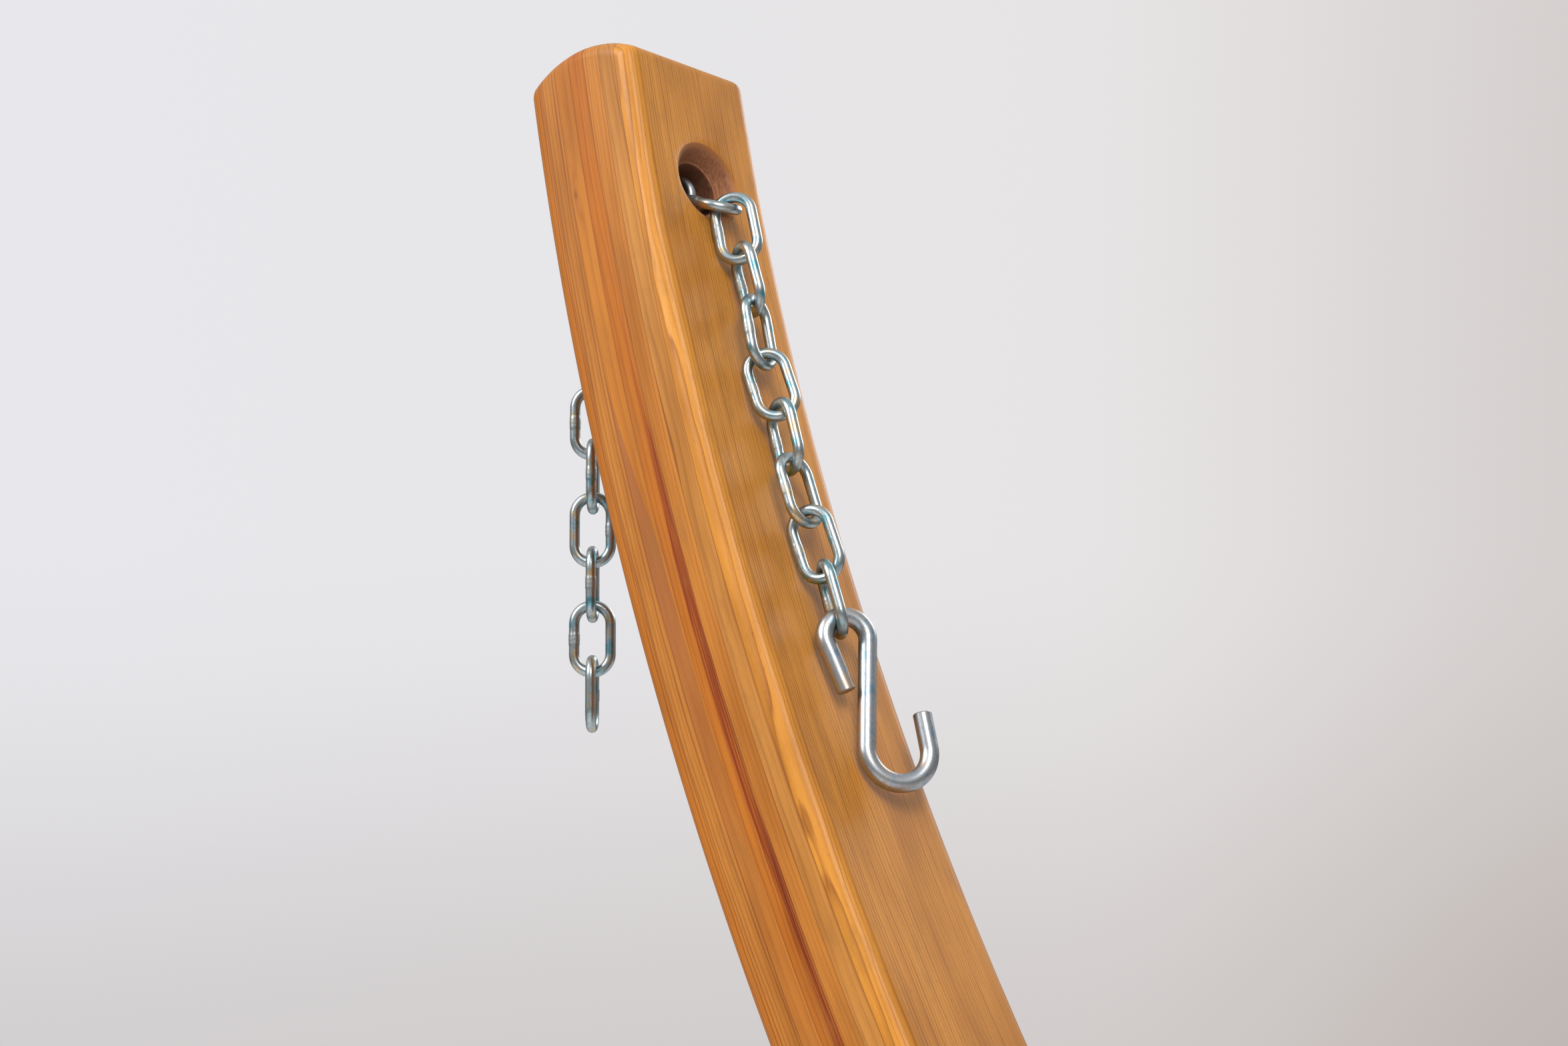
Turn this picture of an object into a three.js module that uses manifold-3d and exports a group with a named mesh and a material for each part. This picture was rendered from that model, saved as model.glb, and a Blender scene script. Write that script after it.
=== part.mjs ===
// Arc stand for a porch swing or hammock seat: two glued-laminated larch arms bolted
// together at the bottom into one wide U, two arched cross feet, and at each arm's top
// end a short-link steel chain that passes through a bore and carries an S-hook.
//
// Millimetres. +Z is up, the arc lies in the XZ plane, and the origin is on the ground
// under the middle of the arc. The left half (-X) is modelled; the right half is the
// same half turned by 180 degrees about Z.

import * as THREE from 'three';
import { mergeVertices } from 'three/addons/utils/BufferGeometryUtils.js';
import Module from 'manifold-3d';

const wasm = await Module();
wasm.setup();

// ---- driving dimensions ----
const FIT_GAP = 0.3; // play left between pieces that touch

const ARC_RADIUS = 1530; // centreline of the bent arm
const ARM_WIDTH = 80; // across the arc, along Y
const LAMELLA = 9.5;
const LAMELLAE = 7;
const ARM_DEPTH = LAMELLA * LAMELLAE; // along the arc's radius
const ARRIS_RADIUS = 7;
const GROUND_CLEARANCE = 25; // under the lowest point of the arc
const ARC_CENTRE_Z = GROUND_CLEARANCE + ARM_DEPTH / 2 + ARC_RADIUS;
const END_CROWN = 10.4; // how far the arm's rounded top end stands up
const CROWN_EASE = 3; // the crown's side edges are eased by this much
const CROWN_STEPS = [0.12, 0.35, 0.6, 0.8, 0.93]; // shares of the half depth
const END_LEAN = 2; // the end is cut a little askew: its outer edge stands up by twice this
const LEAN_FROM = 30; // the lean starts this far from the bore
const FINE_STEP = 32; // of the arc, along the stretch where the chain lies
const FINE_UNTIL = 380;
const COARSE_STEPS = 24; // for the rest of the arc
const HALF_JOINT_GAP = 0.3; // each arm stops this far from the middle plane

const BORE_ANGLE = THREE.MathUtils.degToRad(12.66); // of the chain bore, from horizontal
const BORE_FROM_END = 60.3;
const BORE_RADIUS = 13;
const BORE_RIM_RADIUS = 18.3;
const BORE_RIM_DEPTH = 9;

const SPLICE_LENGTH = 360;
const SPLICE_HEIGHT = 42;
const SPLICE_THICKNESS = 4;
const SPLICE_Z = ARC_CENTRE_Z - ARC_RADIUS + 4;
const SPLICE_BOLT_X = [55, 140];
const BOLT_RADIUS = 5;
const BOLT_HEAD_RADIUS = 11;
const BOLT_HEAD_HEIGHT = 5;
const BOLT_IN_NUT = 8.4; // how far a bolt reaches into its nut
const NUT_RADIUS = 10;
const NUT_HEIGHT = 14;
const NUT_HOLE_DEPTH = 10.5;

const FOOT_X = 600;
const FOOT_WIDTH = 80; // along X
const FOOT_LENGTH = 1200; // along Y
const FOOT_TOP = 168; // at the middle
const FOOT_END_HEIGHT = 42;
const FOOT_ARCH_HEIGHT = 78;
const FOOT_ARCH_LENGTH = 1000;
const FOOT_SCREW_ACROSS = 20;
const FOOT_SCREW_LENGTH = 108;
const FOOT_SCREW_SEAT = 0.8; // head above the arm's inner face

const WIRE = 5; // chain wire diameter
const LINK_BOW = 8.5; // radius of a link's bow, at the wire's centre
const LINK_SLACK = 0.7; // play between two links
const LINK_PITCH = 25.6;
const LINK_INNER = LINK_PITCH + LINK_SLACK; // inside length of a link
const WIRE_SPACING = WIRE + LINK_SLACK; // between the wires of two links where they meet

const HOOK_WIRE = 8;
const HOOK_UPPER_BOW = 9.5;
const HOOK_LOWER_BOW = 13.9;
const HOOK_OFFSET = new THREE.Vector2(10.9, 51); // lower bow's centre from the upper's
const HOOK_UPPER_LEG = 21.7;
const HOOK_LOWER_LEG = 15.1;
const HOOK_UPPER_LEG_ANGLE = THREE.MathUtils.degToRad(169.7);
const HOOK_LOWER_LEG_ANGLE = THREE.MathUtils.degToRad(2.8);
const HOOK_TWIST = 60;
const HOOK_TILT = THREE.MathUtils.degToRad(3); // its lower bow leans in to the wood
const HOOK_SHIFT = 1.4; // the chain sits this far to one side of the upper bow's top

// ---- materials ----
const larch = new THREE.MeshStandardMaterial({ color: 0xc98a45, roughness: 0.55 });
const zinc = new THREE.MeshStandardMaterial({ color: 0xb4bcc0, roughness: 0.3, metalness: 1 });
const plate = new THREE.MeshStandardMaterial({ color: 0xa9afb2, roughness: 0.4, metalness: 1 });

// ---- helpers ----
const ACROSS = new THREE.Vector3(0, 1, 0);
const DOWN = new THREE.Vector3(0, 0, -1);

function solidOf(geometry) {
  const bare = geometry.clone();
  bare.deleteAttribute('normal');
  bare.deleteAttribute('uv');
  const merged = mergeVertices(bare, 1e-4);
  return new wasm.Manifold(new wasm.Mesh({
    numProp: 3,
    vertProperties: new Float32Array(merged.attributes.position.array),
    triVerts: new Uint32Array(merged.index.array),
  }));
}

function geometryOf(solid) {
  const mesh = solid.getMesh();
  const geometry = new THREE.BufferGeometry();
  geometry.setAttribute('position', new THREE.BufferAttribute(mesh.vertProperties, 3));
  geometry.setIndex(new THREE.BufferAttribute(mesh.triVerts, 1));
  geometry.computeVertexNormals();
  return geometry;
}

function cut(geometry, ...tools) {
  const start = solidOf(geometry);
  return geometryOf(tools.reduce((solid, tool) => solid.subtract(solidOf(tool)), start));
}

// a closed skin through rings of equally many points, with a fan over each end; each
// ring runs anticlockwise seen from the first ring's end
function skin(rings) {
  const count = rings[0].length;
  const points = rings.flat();
  const faces = [];
  for (let r = 0; r + 1 < rings.length; r += 1) {
    for (let i = 0; i < count; i += 1) {
      const a = r * count + i;
      const b = r * count + ((i + 1) % count);
      faces.push(b, a, a + count, b + count, b, a + count);
    }
  }
  [rings[0], rings.at(-1)].forEach((ring, end) => {
    const middle = ring.reduce((sum, p) => sum.add(p), new THREE.Vector3());
    const hub = points.push(middle.divideScalar(count)) - 1;
    const first = end * (rings.length - 1) * count;
    for (let i = 0; i < count; i += 1) {
      const a = first + i;
      const b = first + ((i + 1) % count);
      faces.push(...(end ? [b, a, hub] : [a, b, hub]));
    }
  });
  const geometry = new THREE.BufferGeometry().setFromPoints(points);
  geometry.setIndex(faces);
  geometry.computeVertexNormals();
  return geometry;
}

// turns and moves a shape made along +Y so that it starts at a point and follows a direction
function aim(geometry, from, direction) {
  const turn = new THREE.Quaternion().setFromUnitVectors(ACROSS, direction);
  return geometry.applyQuaternion(turn).translate(from.x, from.y, from.z);
}

function rod(radius, from, to, sides = 20) {
  const way = to.clone().sub(from);
  const length = way.length();
  const shape = new THREE.CylinderGeometry(radius, radius, length, sides);
  return aim(shape.translate(0, length / 2, 0), from, way.normalize());
}

// ---- the left arm's own coordinates ----
// along: mm down the centreline from the bore; inward: mm towards the arc's centre
function armPoint(along, inward, across = 0) {
  const angle = BORE_ANGLE + along / ARC_RADIUS;
  const reach = ARC_RADIUS - inward;
  return new THREE.Vector3(
    -reach * Math.cos(angle),
    across,
    ARC_CENTRE_Z - reach * Math.sin(angle),
  );
}

function alongAt(angle) {
  return (angle - BORE_ANGLE) * ARC_RADIUS;
}

// ---- arm ----
function endLean(along, inward) {
  const share = THREE.MathUtils.clamp((-along - LEAN_FROM) / (BORE_FROM_END - LEAN_FROM), 0, 1);
  return END_LEAN * share * (1 - (2 * inward) / ARM_DEPTH);
}

function armRing(along, halfDepth, halfWidth) {
  const radius = Math.min(ARRIS_RADIUS, halfDepth, halfWidth);
  const corners = [[1, 1, 0], [-1, 1, 90], [-1, -1, 180], [1, -1, 270]];
  return corners.flatMap(([side, face, start]) => [0, 30, 60, 90].map((step) => {
    const turn = THREE.MathUtils.degToRad(start + step);
    const inward = side * (halfDepth - radius) + radius * Math.cos(turn);
    const across = face * (halfWidth - radius) + radius * Math.sin(turn);
    return armPoint(along - endLean(along, inward), inward, across);
  }));
}

// The top end is rounded like a barrel: the crown is an arc in side view, straight across.
function armBlank(swell = 0) {
  const depth = ARM_DEPTH / 2 + swell;
  const width = ARM_WIDTH / 2 + swell;
  const crownRadius = (depth ** 2 + END_CROWN ** 2) / (2 * END_CROWN);
  const rings = CROWN_STEPS.map((part) => {
    const half = part * depth;
    const rise = Math.sqrt(crownRadius ** 2 - half ** 2) - crownRadius + END_CROWN;
    return armRing(-BORE_FROM_END - rise, half, width - CROWN_EASE * (1 - part));
  });
  const last = alongAt(Math.PI / 2) - HALF_JOINT_GAP;
  for (let along = -BORE_FROM_END; along < FINE_UNTIL; along += FINE_STEP) {
    rings.push(armRing(along, depth, width));
  }
  for (let i = 0; i <= COARSE_STEPS; i += 1) {
    rings.push(armRing(FINE_UNTIL + ((last - FINE_UNTIL) * i) / COARSE_STEPS, depth, width));
  }
  return skin(rings);
}

function boreCutter() {
  const face = ARM_DEPTH / 2;
  const past = 3;
  const flare = ((BORE_RIM_RADIUS - BORE_RADIUS) / BORE_RIM_DEPTH) * past;
  const outline = [
    [0, -face - past],
    [BORE_RIM_RADIUS + flare, -face - past],
    [BORE_RADIUS, -face + BORE_RIM_DEPTH],
    [BORE_RADIUS, face - BORE_RIM_DEPTH],
    [BORE_RIM_RADIUS + flare, face + past],
    [0, face + past],
  ].map(([x, y]) => new THREE.Vector2(x, y));
  const inward = armPoint(0, 1).sub(armPoint(0, 0)).normalize();
  return aim(new THREE.LatheGeometry(outline, 28), armPoint(0, 0), inward);
}

function footScrewLine(across) {
  const along = alongAt(Math.acos(FOOT_X / (ARC_RADIUS + ARM_DEPTH / 2)));
  const seat = ARM_DEPTH / 2 + FOOT_SCREW_SEAT;
  const head = armPoint(along, seat, across);
  const tip = armPoint(along, seat - FOOT_SCREW_LENGTH, across);
  return { head, tip, out: head.clone().sub(tip).normalize() };
}

function footScrewHole(across) {
  const { head, tip, out } = footScrewLine(across);
  const past = 2;
  return rod(
    BOLT_RADIUS + 2 * FIT_GAP,
    tip.addScaledVector(out, -past),
    head.addScaledVector(out, past),
  );
}

function spliceHole(x) {
  const reach = ARM_WIDTH;
  return rod(
    BOLT_RADIUS + 2 * FIT_GAP,
    new THREE.Vector3(x, -reach, SPLICE_Z),
    new THREE.Vector3(x, reach, SPLICE_Z),
  );
}

function arm() {
  const screws = [-FOOT_SCREW_ACROSS, FOOT_SCREW_ACROSS].map(footScrewHole);
  const bolts = SPLICE_BOLT_X.map((x) => spliceHole(-x));
  return cut(armBlank(), boreCutter(), ...screws, ...bolts);
}

// ---- cross foot: arched, notched to seat the arm ----
function foot() {
  const outline = [];
  const steps = 16;
  for (let i = 0; i <= steps; i += 1) {
    const across = -1 + (2 * i) / steps;
    const rise = (FOOT_TOP - FOOT_END_HEIGHT) * (1 - across * across);
    outline.push(new THREE.Vector2((across * FOOT_LENGTH) / 2, FOOT_END_HEIGHT + rise));
  }
  outline.push(new THREE.Vector2(FOOT_LENGTH / 2, 0));
  for (let i = steps; i >= 0; i -= 1) {
    const across = -1 + (2 * i) / steps;
    const rise = FOOT_ARCH_HEIGHT * (1 - across * across);
    outline.push(new THREE.Vector2((across * FOOT_ARCH_LENGTH) / 2, rise));
  }
  outline.push(new THREE.Vector2(-FOOT_LENGTH / 2, 0));
  const bevel = 3;
  const beam = new THREE.ExtrudeGeometry(new THREE.Shape(outline), {
    depth: FOOT_WIDTH - 2 * bevel,
    bevelSize: bevel,
    bevelThickness: bevel,
    bevelOffset: -bevel,
    bevelSegments: 1,
  });
  beam.translate(0, 0, bevel - FOOT_WIDTH / 2);
  beam.rotateX(Math.PI / 2).rotateZ(Math.PI / 2).translate(-FOOT_X, 0, 0);
  const screws = [-FOOT_SCREW_ACROSS, FOOT_SCREW_ACROSS].map(footScrewHole);
  return cut(beam, armBlank(FIT_GAP), ...screws);
}

// ---- fasteners ----
// a hex head on a plain shank; the outline runs from the head's top to the shank's tip
function footScrew(across) {
  const { head, out } = footScrewLine(across);
  const taper = 8;
  const outline = [
    [0, -FOOT_SCREW_LENGTH],
    [1.5, -FOOT_SCREW_LENGTH],
    [BOLT_RADIUS, taper - FOOT_SCREW_LENGTH],
    [BOLT_RADIUS, 0],
    [BOLT_HEAD_RADIUS, 0],
    [BOLT_HEAD_RADIUS, BOLT_HEAD_HEIGHT],
    [BOLT_HEAD_RADIUS - 2, BOLT_HEAD_HEIGHT + 1.5],
    [0, BOLT_HEAD_HEIGHT + 1.5],
  ].map(([x, y]) => new THREE.Vector2(x, y));
  return aim(new THREE.LatheGeometry(outline, 12), head, out);
}

const PLATE_OUT = ARM_WIDTH / 2 + FIT_GAP + SPLICE_THICKNESS;

function spliceBolt(x) {
  const under = PLATE_OUT + FIT_GAP;
  const length = 2 * under + BOLT_IN_NUT;
  const outline = [
    [0, -length],
    [BOLT_RADIUS, -length],
    [BOLT_RADIUS, 0],
    [BOLT_HEAD_RADIUS, 0],
    [BOLT_HEAD_RADIUS * 0.8, BOLT_HEAD_HEIGHT * 0.7],
    [BOLT_HEAD_RADIUS * 0.4, BOLT_HEAD_HEIGHT],
    [0, BOLT_HEAD_HEIGHT],
  ].map(([a, b]) => new THREE.Vector2(a, b));
  const front = new THREE.Vector3(x, -under, SPLICE_Z);
  return aim(new THREE.LatheGeometry(outline, 12), front, ACROSS.clone().negate());
}

// an acorn nut with a blind hole
function spliceNut(x) {
  const hole = BOLT_RADIUS + 1.2;
  const outline = [
    [hole, 0],
    [NUT_RADIUS, 0],
    [NUT_RADIUS, NUT_HEIGHT * 0.5],
    [NUT_RADIUS * 0.75, NUT_HEIGHT * 0.85],
    [NUT_RADIUS * 0.35, NUT_HEIGHT],
    [0, NUT_HEIGHT],
    [0, NUT_HOLE_DEPTH],
    [hole, NUT_HOLE_DEPTH],
    [hole, 0],
  ].map(([a, b]) => new THREE.Vector2(a, b));
  const back = new THREE.Vector3(x, PLATE_OUT + FIT_GAP, SPLICE_Z);
  return aim(new THREE.LatheGeometry(outline, 6), back, ACROSS);
}

function splicePlate(side) {
  const x = SPLICE_LENGTH / 2;
  const z = SPLICE_HEIGHT / 2;
  const corners = [[-x, -z], [x, -z], [x, z], [-x, z]];
  const shape = new THREE.Shape(corners.map(([a, b]) => new THREE.Vector2(a, b)));
  [-1, 1].forEach((end) => SPLICE_BOLT_X.forEach((from) => {
    const hole = new THREE.Path();
    hole.absarc(end * from, 0, BOLT_RADIUS + 2 * FIT_GAP, 0, 2 * Math.PI);
    shape.holes.push(hole);
  }));
  const body = new THREE.ExtrudeGeometry(shape, {
    depth: SPLICE_THICKNESS,
    bevelEnabled: false,
    curveSegments: 10,
  });
  const inner = ARM_WIDTH / 2 + FIT_GAP;
  const y = side > 0 ? inner + SPLICE_THICKNESS : -inner;
  return body.rotateX(Math.PI / 2).translate(0, y, SPLICE_Z);
}

// ---- chain ----
// A joint is the centre of the wire in the far bow of a link, where the next link hangs.
// The lateral of a link is the direction across its own plane's width; at twist 0 it lies
// in the arc's plane.
function lateralOf(direction, twist) {
  const inPlane = direction.clone().cross(ACROSS).normalize();
  const sideways = inPlane.clone().cross(direction);
  const angle = THREE.MathUtils.degToRad(twist);
  return inPlane.multiplyScalar(Math.cos(angle)).addScaledVector(sideways, Math.sin(angle));
}

function placeIn(direction, lateral, centre) {
  const normal = lateral.clone().cross(direction);
  const turn = new THREE.Matrix4().makeBasis(lateral, direction, normal);
  return turn.setPosition(centre);
}

// a torus pulled apart along Y into a link, its straight sides along Y
function linkShape() {
  const steps = 16;
  const ring = new THREE.TorusGeometry(LINK_BOW, WIRE / 2, 6, steps);
  ring.rotateZ(Math.PI / steps);
  const pull = LINK_INNER / 2 + WIRE / 2 - LINK_BOW;
  const place = ring.attributes.position;
  for (let i = 0; i < place.count; i += 1) {
    place.setY(i, place.getY(i) + Math.sign(place.getY(i)) * pull);
  }
  return geometryOf(solidOf(ring));
}

const LINK_HALF = LINK_INNER / 2 + WIRE / 2; // centre of a link to the wire of its bow

function chainLink({ wire, direction, lateral }) {
  const centre = wire.clone().addScaledVector(direction, LINK_HALF);
  return linkShape().applyMatrix4(placeIn(direction, lateral, centre));
}

// The next link's lie, from the joint of the link that holds it towards a target point.
// Where the chain bends about the next link's own wire, that wire stays in line with the
// link that holds it; where it bends about the holding wire, it swings round that wire.
function nextLie(held, target, twist) {
  const aimed = target.clone().sub(held.joint).normalize();
  const bend = held.direction.clone().cross(aimed);
  const ownWire = Math.abs(bend.dot(lateralOf(aimed, twist))) > Math.abs(bend.dot(held.lateral));
  const pull = ownWire ? held.direction : aimed;
  const wire = held.joint.clone().addScaledVector(pull, -WIRE_SPACING);
  const direction = target.clone().sub(wire).normalize();
  const joint = wire.clone().addScaledVector(direction, 2 * LINK_HALF);
  return { wire, direction, joint, lateral: lateralOf(direction, twist) };
}

// ---- S-hook ----
// Drawn with X across and Y down the hook, from the upper bow's centre.
function hookPath() {
  const polar = (centre, radius, angle) => new THREE.Vector2(
    centre.x + radius * Math.cos(angle),
    centre.y + radius * Math.sin(angle),
  );
  const arc = (centre, radius, from, to, steps) => Array.from(
    { length: steps + 1 },
    (_, i) => polar(centre, radius, from + ((to - from) * i) / steps),
  );
  const upper = new THREE.Vector2(0, 0);
  const lean = Math.asin((HOOK_UPPER_BOW + HOOK_LOWER_BOW) / HOOK_OFFSET.length());
  const shank = lean - Math.atan2(HOOK_OFFSET.x, HOOK_OFFSET.y);
  const over = arc(upper, HOOK_UPPER_BOW, HOOK_UPPER_LEG_ANGLE, shank + 2 * Math.PI, 10);
  const under = arc(HOOK_OFFSET, HOOK_LOWER_BOW, shank + Math.PI, HOOK_LOWER_LEG_ANGLE, 10);
  const upperLeg = new THREE.Vector2(
    over[0].x + HOOK_UPPER_LEG * Math.sin(HOOK_UPPER_LEG_ANGLE),
    over[0].y - HOOK_UPPER_LEG * Math.cos(HOOK_UPPER_LEG_ANGLE),
  );
  const last = under.at(-1);
  const lowerLeg = new THREE.Vector2(
    last.x + HOOK_LOWER_LEG * Math.sin(HOOK_LOWER_LEG_ANGLE),
    last.y - HOOK_LOWER_LEG * Math.cos(HOOK_LOWER_LEG_ANGLE),
  );
  return [upperLeg, ...over, ...under, lowerLeg];
}

function hook({ joint, direction }) {
  const path = hookPath();
  const half = HOOK_WIRE / 2;
  const rings = path.map((at, i) => {
    const before = path[Math.max(i - 1, 0)];
    const after = path[Math.min(i + 1, path.length - 1)];
    const travel = after.clone().sub(before).normalize();
    return Array.from({ length: 8 }, (_, corner) => {
      const turn = (corner * Math.PI) / 4;
      const out = half * Math.cos(turn);
      return new THREE.Vector3(at.x + travel.y * out, at.y - travel.x * out, half * Math.sin(turn));
    });
  });
  const hang = direction.clone().applyAxisAngle(ACROSS, HOOK_TILT);
  const lateral = lateralOf(hang, HOOK_TWIST);
  const inset = HOOK_UPPER_BOW - half - WIRE / 2 - LINK_SLACK;
  const centre = joint.clone().addScaledVector(hang, inset).addScaledVector(lateral, HOOK_SHIFT);
  return skin(rings).applyMatrix4(placeIn(hang, lateral, centre));
}

// ---- the chain's lie ----
// The link in the middle of the bore stays with the arm; from its two bows one run goes
// out over the bore's lower lip and down the inner face to the hook, and the other goes
// over the rear lip and hangs free behind the arm.
// height: of a far joint above the wood's inner face; across: its Y; twist in degrees
const FACE = ARM_DEPTH / 2;
const BORE_FRONT = armPoint(1.2, 22.4, -0.4);
const BORE_THROUGH = BORE_FRONT.clone().sub(armPoint(-0.6, -9, -0.2)).normalize();
const BORE_REAR = BORE_FRONT.clone().addScaledVector(BORE_THROUGH, -2 * LINK_HALF);
const BORE_LATERAL = lateralOf(BORE_THROUGH, 0);
const FIRST_ALONG = 17.3;
const FIRST_HEIGHT = 9;
const FIRST_ACROSS = 1.2;
const FIRST_TWIST = 86;
const FRONT_LAY = [
  { height: 10.6, across: 0.2, twist: 28 },
  { height: 11.8, across: 0.6, twist: -26 },
  { height: 9.6, across: 0.6, twist: 100 },
  { height: 12, across: 0.3, twist: 40 },
  { height: 11.2, across: -0.6, twist: -20 },
  { height: 11.4, across: -0.4, twist: 88 },
  { height: 12, across: 0.2, twist: 18 },
  { height: 11.4, across: -0.4, twist: -40 },
];
const REAR_LIP = armPoint(5.2, -36, 1.5);
const REAR_REACH = 17.2; // how far the link over the rear lip reaches outwards
const REAR_SHIFT = 3.5; // and across
const REAR_TWISTS = [90, 20, 87, 148, 40, 130, 40, 130, 40, 130];

function frontRun() {
  const held = { joint: BORE_FRONT, direction: BORE_THROUGH, lateral: BORE_LATERAL };
  const first = armPoint(FIRST_ALONG, FACE + FIRST_HEIGHT, FIRST_ACROSS);
  const run = [nextLie(held, first, FIRST_TWIST)];
  let along = FIRST_ALONG;
  FRONT_LAY.forEach(({ height, across, twist }) => {
    along += LINK_PITCH * (ARC_RADIUS / (ARC_RADIUS - FACE - height));
    run.push(nextLie(run.at(-1), armPoint(along, FACE + height, across), twist));
  });
  return run;
}

function rearRun() {
  const back = BORE_THROUGH.clone().negate();
  const held = { joint: BORE_REAR, direction: back, lateral: BORE_LATERAL };
  const run = [nextLie(held, REAR_LIP, REAR_TWISTS[0])];
  const fall = Math.sqrt(LINK_PITCH ** 2 - REAR_REACH ** 2 - REAR_SHIFT ** 2);
  const over = run[0].joint.clone().add(new THREE.Vector3(-REAR_REACH, REAR_SHIFT, -fall));
  run.push(nextLie(run[0], over, REAR_TWISTS[1]));
  REAR_TWISTS.slice(2).forEach((twist) => {
    const last = run.at(-1);
    const wire = last.joint.clone().addScaledVector(last.direction, -WIRE_SPACING);
    run.push(nextLie(last, wire.addScaledVector(DOWN, 2 * LINK_HALF), twist));
  });
  return run;
}

// ---- assembly ----
const group = new THREE.Group();

function add(parent, name, geometry, material, hinge) {
  const mesh = new THREE.Mesh(geometry, material);
  mesh.name = name;
  if (hinge) {
    mesh.userData = hinge;
  }
  parent.add(mesh);
}

// what hangs here turns about the wire of the bow that holds it
function hingeOn(held, direction) {
  return {
    pivot: held.joint.toArray(),
    axis: held.lateral.toArray(),
    direction: direction.toArray(),
  };
}

function addRun(parent, side, name, run, start) {
  let held = start;
  run.forEach((lie, i) => {
    const hinge = hingeOn(held, lie.direction);
    add(parent, `${name}_link_${String(i + 1).padStart(2, '0')}_${side}`, chainLink(lie), zinc, hinge);
    held = lie;
  });
  return held;
}

function half(side) {
  const part = new THREE.Group();
  add(part, `arm_${side}`, arm(), larch);
  add(part, `foot_${side}`, foot(), larch);
  add(part, `foot_screw_front_${side}`, footScrew(-FOOT_SCREW_ACROSS), zinc);
  add(part, `foot_screw_back_${side}`, footScrew(FOOT_SCREW_ACROSS), zinc);

  const bore = { wire: BORE_REAR, direction: BORE_THROUGH, lateral: BORE_LATERAL };
  add(part, `bore_link_${side}`, chainLink(bore), zinc);

  const start = { joint: BORE_FRONT, lateral: BORE_LATERAL };
  const last = addRun(part, side, 'front', frontRun(), start);
  add(part, `s_hook_${side}`, hook(last), zinc, hingeOn(last, last.direction));

  addRun(part, side, 'rear', rearRun(), { joint: BORE_REAR, lateral: BORE_LATERAL });
  return part;
}

const left = half('left');
const right = half('right');
right.rotation.z = Math.PI;
group.add(left, right);

add(group, 'splice_plate_front', splicePlate(-1), plate);
add(group, 'splice_plate_back', splicePlate(1), plate);
SPLICE_BOLT_X.flatMap((x) => [-x, x]).sort((a, b) => a - b).forEach((x, i) => {
  add(group, `splice_bolt_${i + 1}`, spliceBolt(x), zinc);
  add(group, `splice_nut_${i + 1}`, spliceNut(x), zinc);
});

export default group;
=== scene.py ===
"""Looks of the arc stand: oiled larch, zinc-plated chain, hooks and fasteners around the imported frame.

Lengths in this script are millimetres until a mesh is made. The left half (-X) is built, and the
right half is the same half turned by 180 degrees about Z.
"""

import math

import bmesh
import bpy
import numpy as np
from mathutils import Matrix, Vector, noise


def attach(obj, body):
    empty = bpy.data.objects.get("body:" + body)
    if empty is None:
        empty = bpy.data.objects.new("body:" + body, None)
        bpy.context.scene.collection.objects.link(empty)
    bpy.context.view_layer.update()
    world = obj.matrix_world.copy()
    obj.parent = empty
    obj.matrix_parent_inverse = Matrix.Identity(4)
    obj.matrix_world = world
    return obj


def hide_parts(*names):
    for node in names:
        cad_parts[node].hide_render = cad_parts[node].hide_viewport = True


# ---- dimensions, as in the frame ----
MM = 0.001
ARC_RADIUS = 1530.0
ARM_WIDTH = 80.0
ARM_DEPTH = 66.5
LAMELLA = 9.5
ARRIS = 7.0
ARC_CENTRE_Z = 25.0 + ARM_DEPTH / 2 + ARC_RADIUS
END_CROWN = 10.4
END_LEAN = 2.0
LEAN_FROM = 30.0
BORE_ANGLE = math.radians(12.66)
BORE_FROM_END = 60.3
BORE_RADIUS = 13.0
BORE_RIM_RADIUS = 18.3
BORE_LEDGE_DEPTH = 8.0
HALF_JOINT_GAP = 0.3
FIT_GAP = 0.3

SPLICE_Z = ARC_CENTRE_Z - ARC_RADIUS + 4
SPLICE_BOLT_X = (-140, -55, 55, 140)
SPLICE_FACE = ARM_WIDTH / 2 + 2 * FIT_GAP + 4

FOOT_X = 600.0
FOOT_WIDTH = 80.0
FOOT_LENGTH = 1200.0
FOOT_TOP = 168.0
FOOT_END_HEIGHT = 42.0
FOOT_ARCH_HEIGHT = 78.0
FOOT_ARCH_LENGTH = 1000.0
FOOT_SCREW_ACROSS = 20.0
FOOT_EASE = 6.0

WIRE = 5.0
LINK_PLAY = 0.06  # off the wire's radius here, so that linked links stay clear at their limits
LINK_BOW = 8.5
LINK_PITCH = 25.6
SEAT_PLAY = 0.7
LINK_HALF = (LINK_PITCH + SEAT_PLAY) / 2 + WIRE / 2
HOOK_WIRE = 8.0
HOOK_UPPER_BOW = 9.5
HOOK_LOWER_BOW = 13.9
HOOK_OFFSET = (10.9, 51.0)
HOOK_UPPER_LEG = 21.7
HOOK_LOWER_LEG = 15.1
HOOK_UPPER_LEG_ANGLE = math.radians(169.7)
HOOK_LOWER_LEG_ANGLE = math.radians(2.8)
HOOK_TWIST = 60
HOOK_TILT = math.radians(3)
HOOK_SHIFT = 1.4
HOOK_SEAT = HOOK_UPPER_BOW - HOOK_WIRE / 2 - WIRE / 2 - SEAT_PLAY

FRONT_LINKS = 9
REAR_LINKS = 10

# ---- camera, metres and degrees ----
CAMERA_AT = (-0.8107, -0.7096, 0.9793)
CAMERA_YAW = 40.49
CAMERA_PITCH = 7.38
CAMERA_ROLL = -0.45
LENS = 50.0
SENSOR = 36.0


# ---- meshes ----
def turned(points):
    """The same points on the other half of the stand."""
    return points * np.array([-1.0, -1.0, 1.0])


def mesh_of(name, points, faces):
    mesh = bpy.data.meshes.new(name)
    mesh.from_pydata((np.asarray(points) * MM).tolist(), [], faces)
    mesh.validate()
    return mesh


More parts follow.
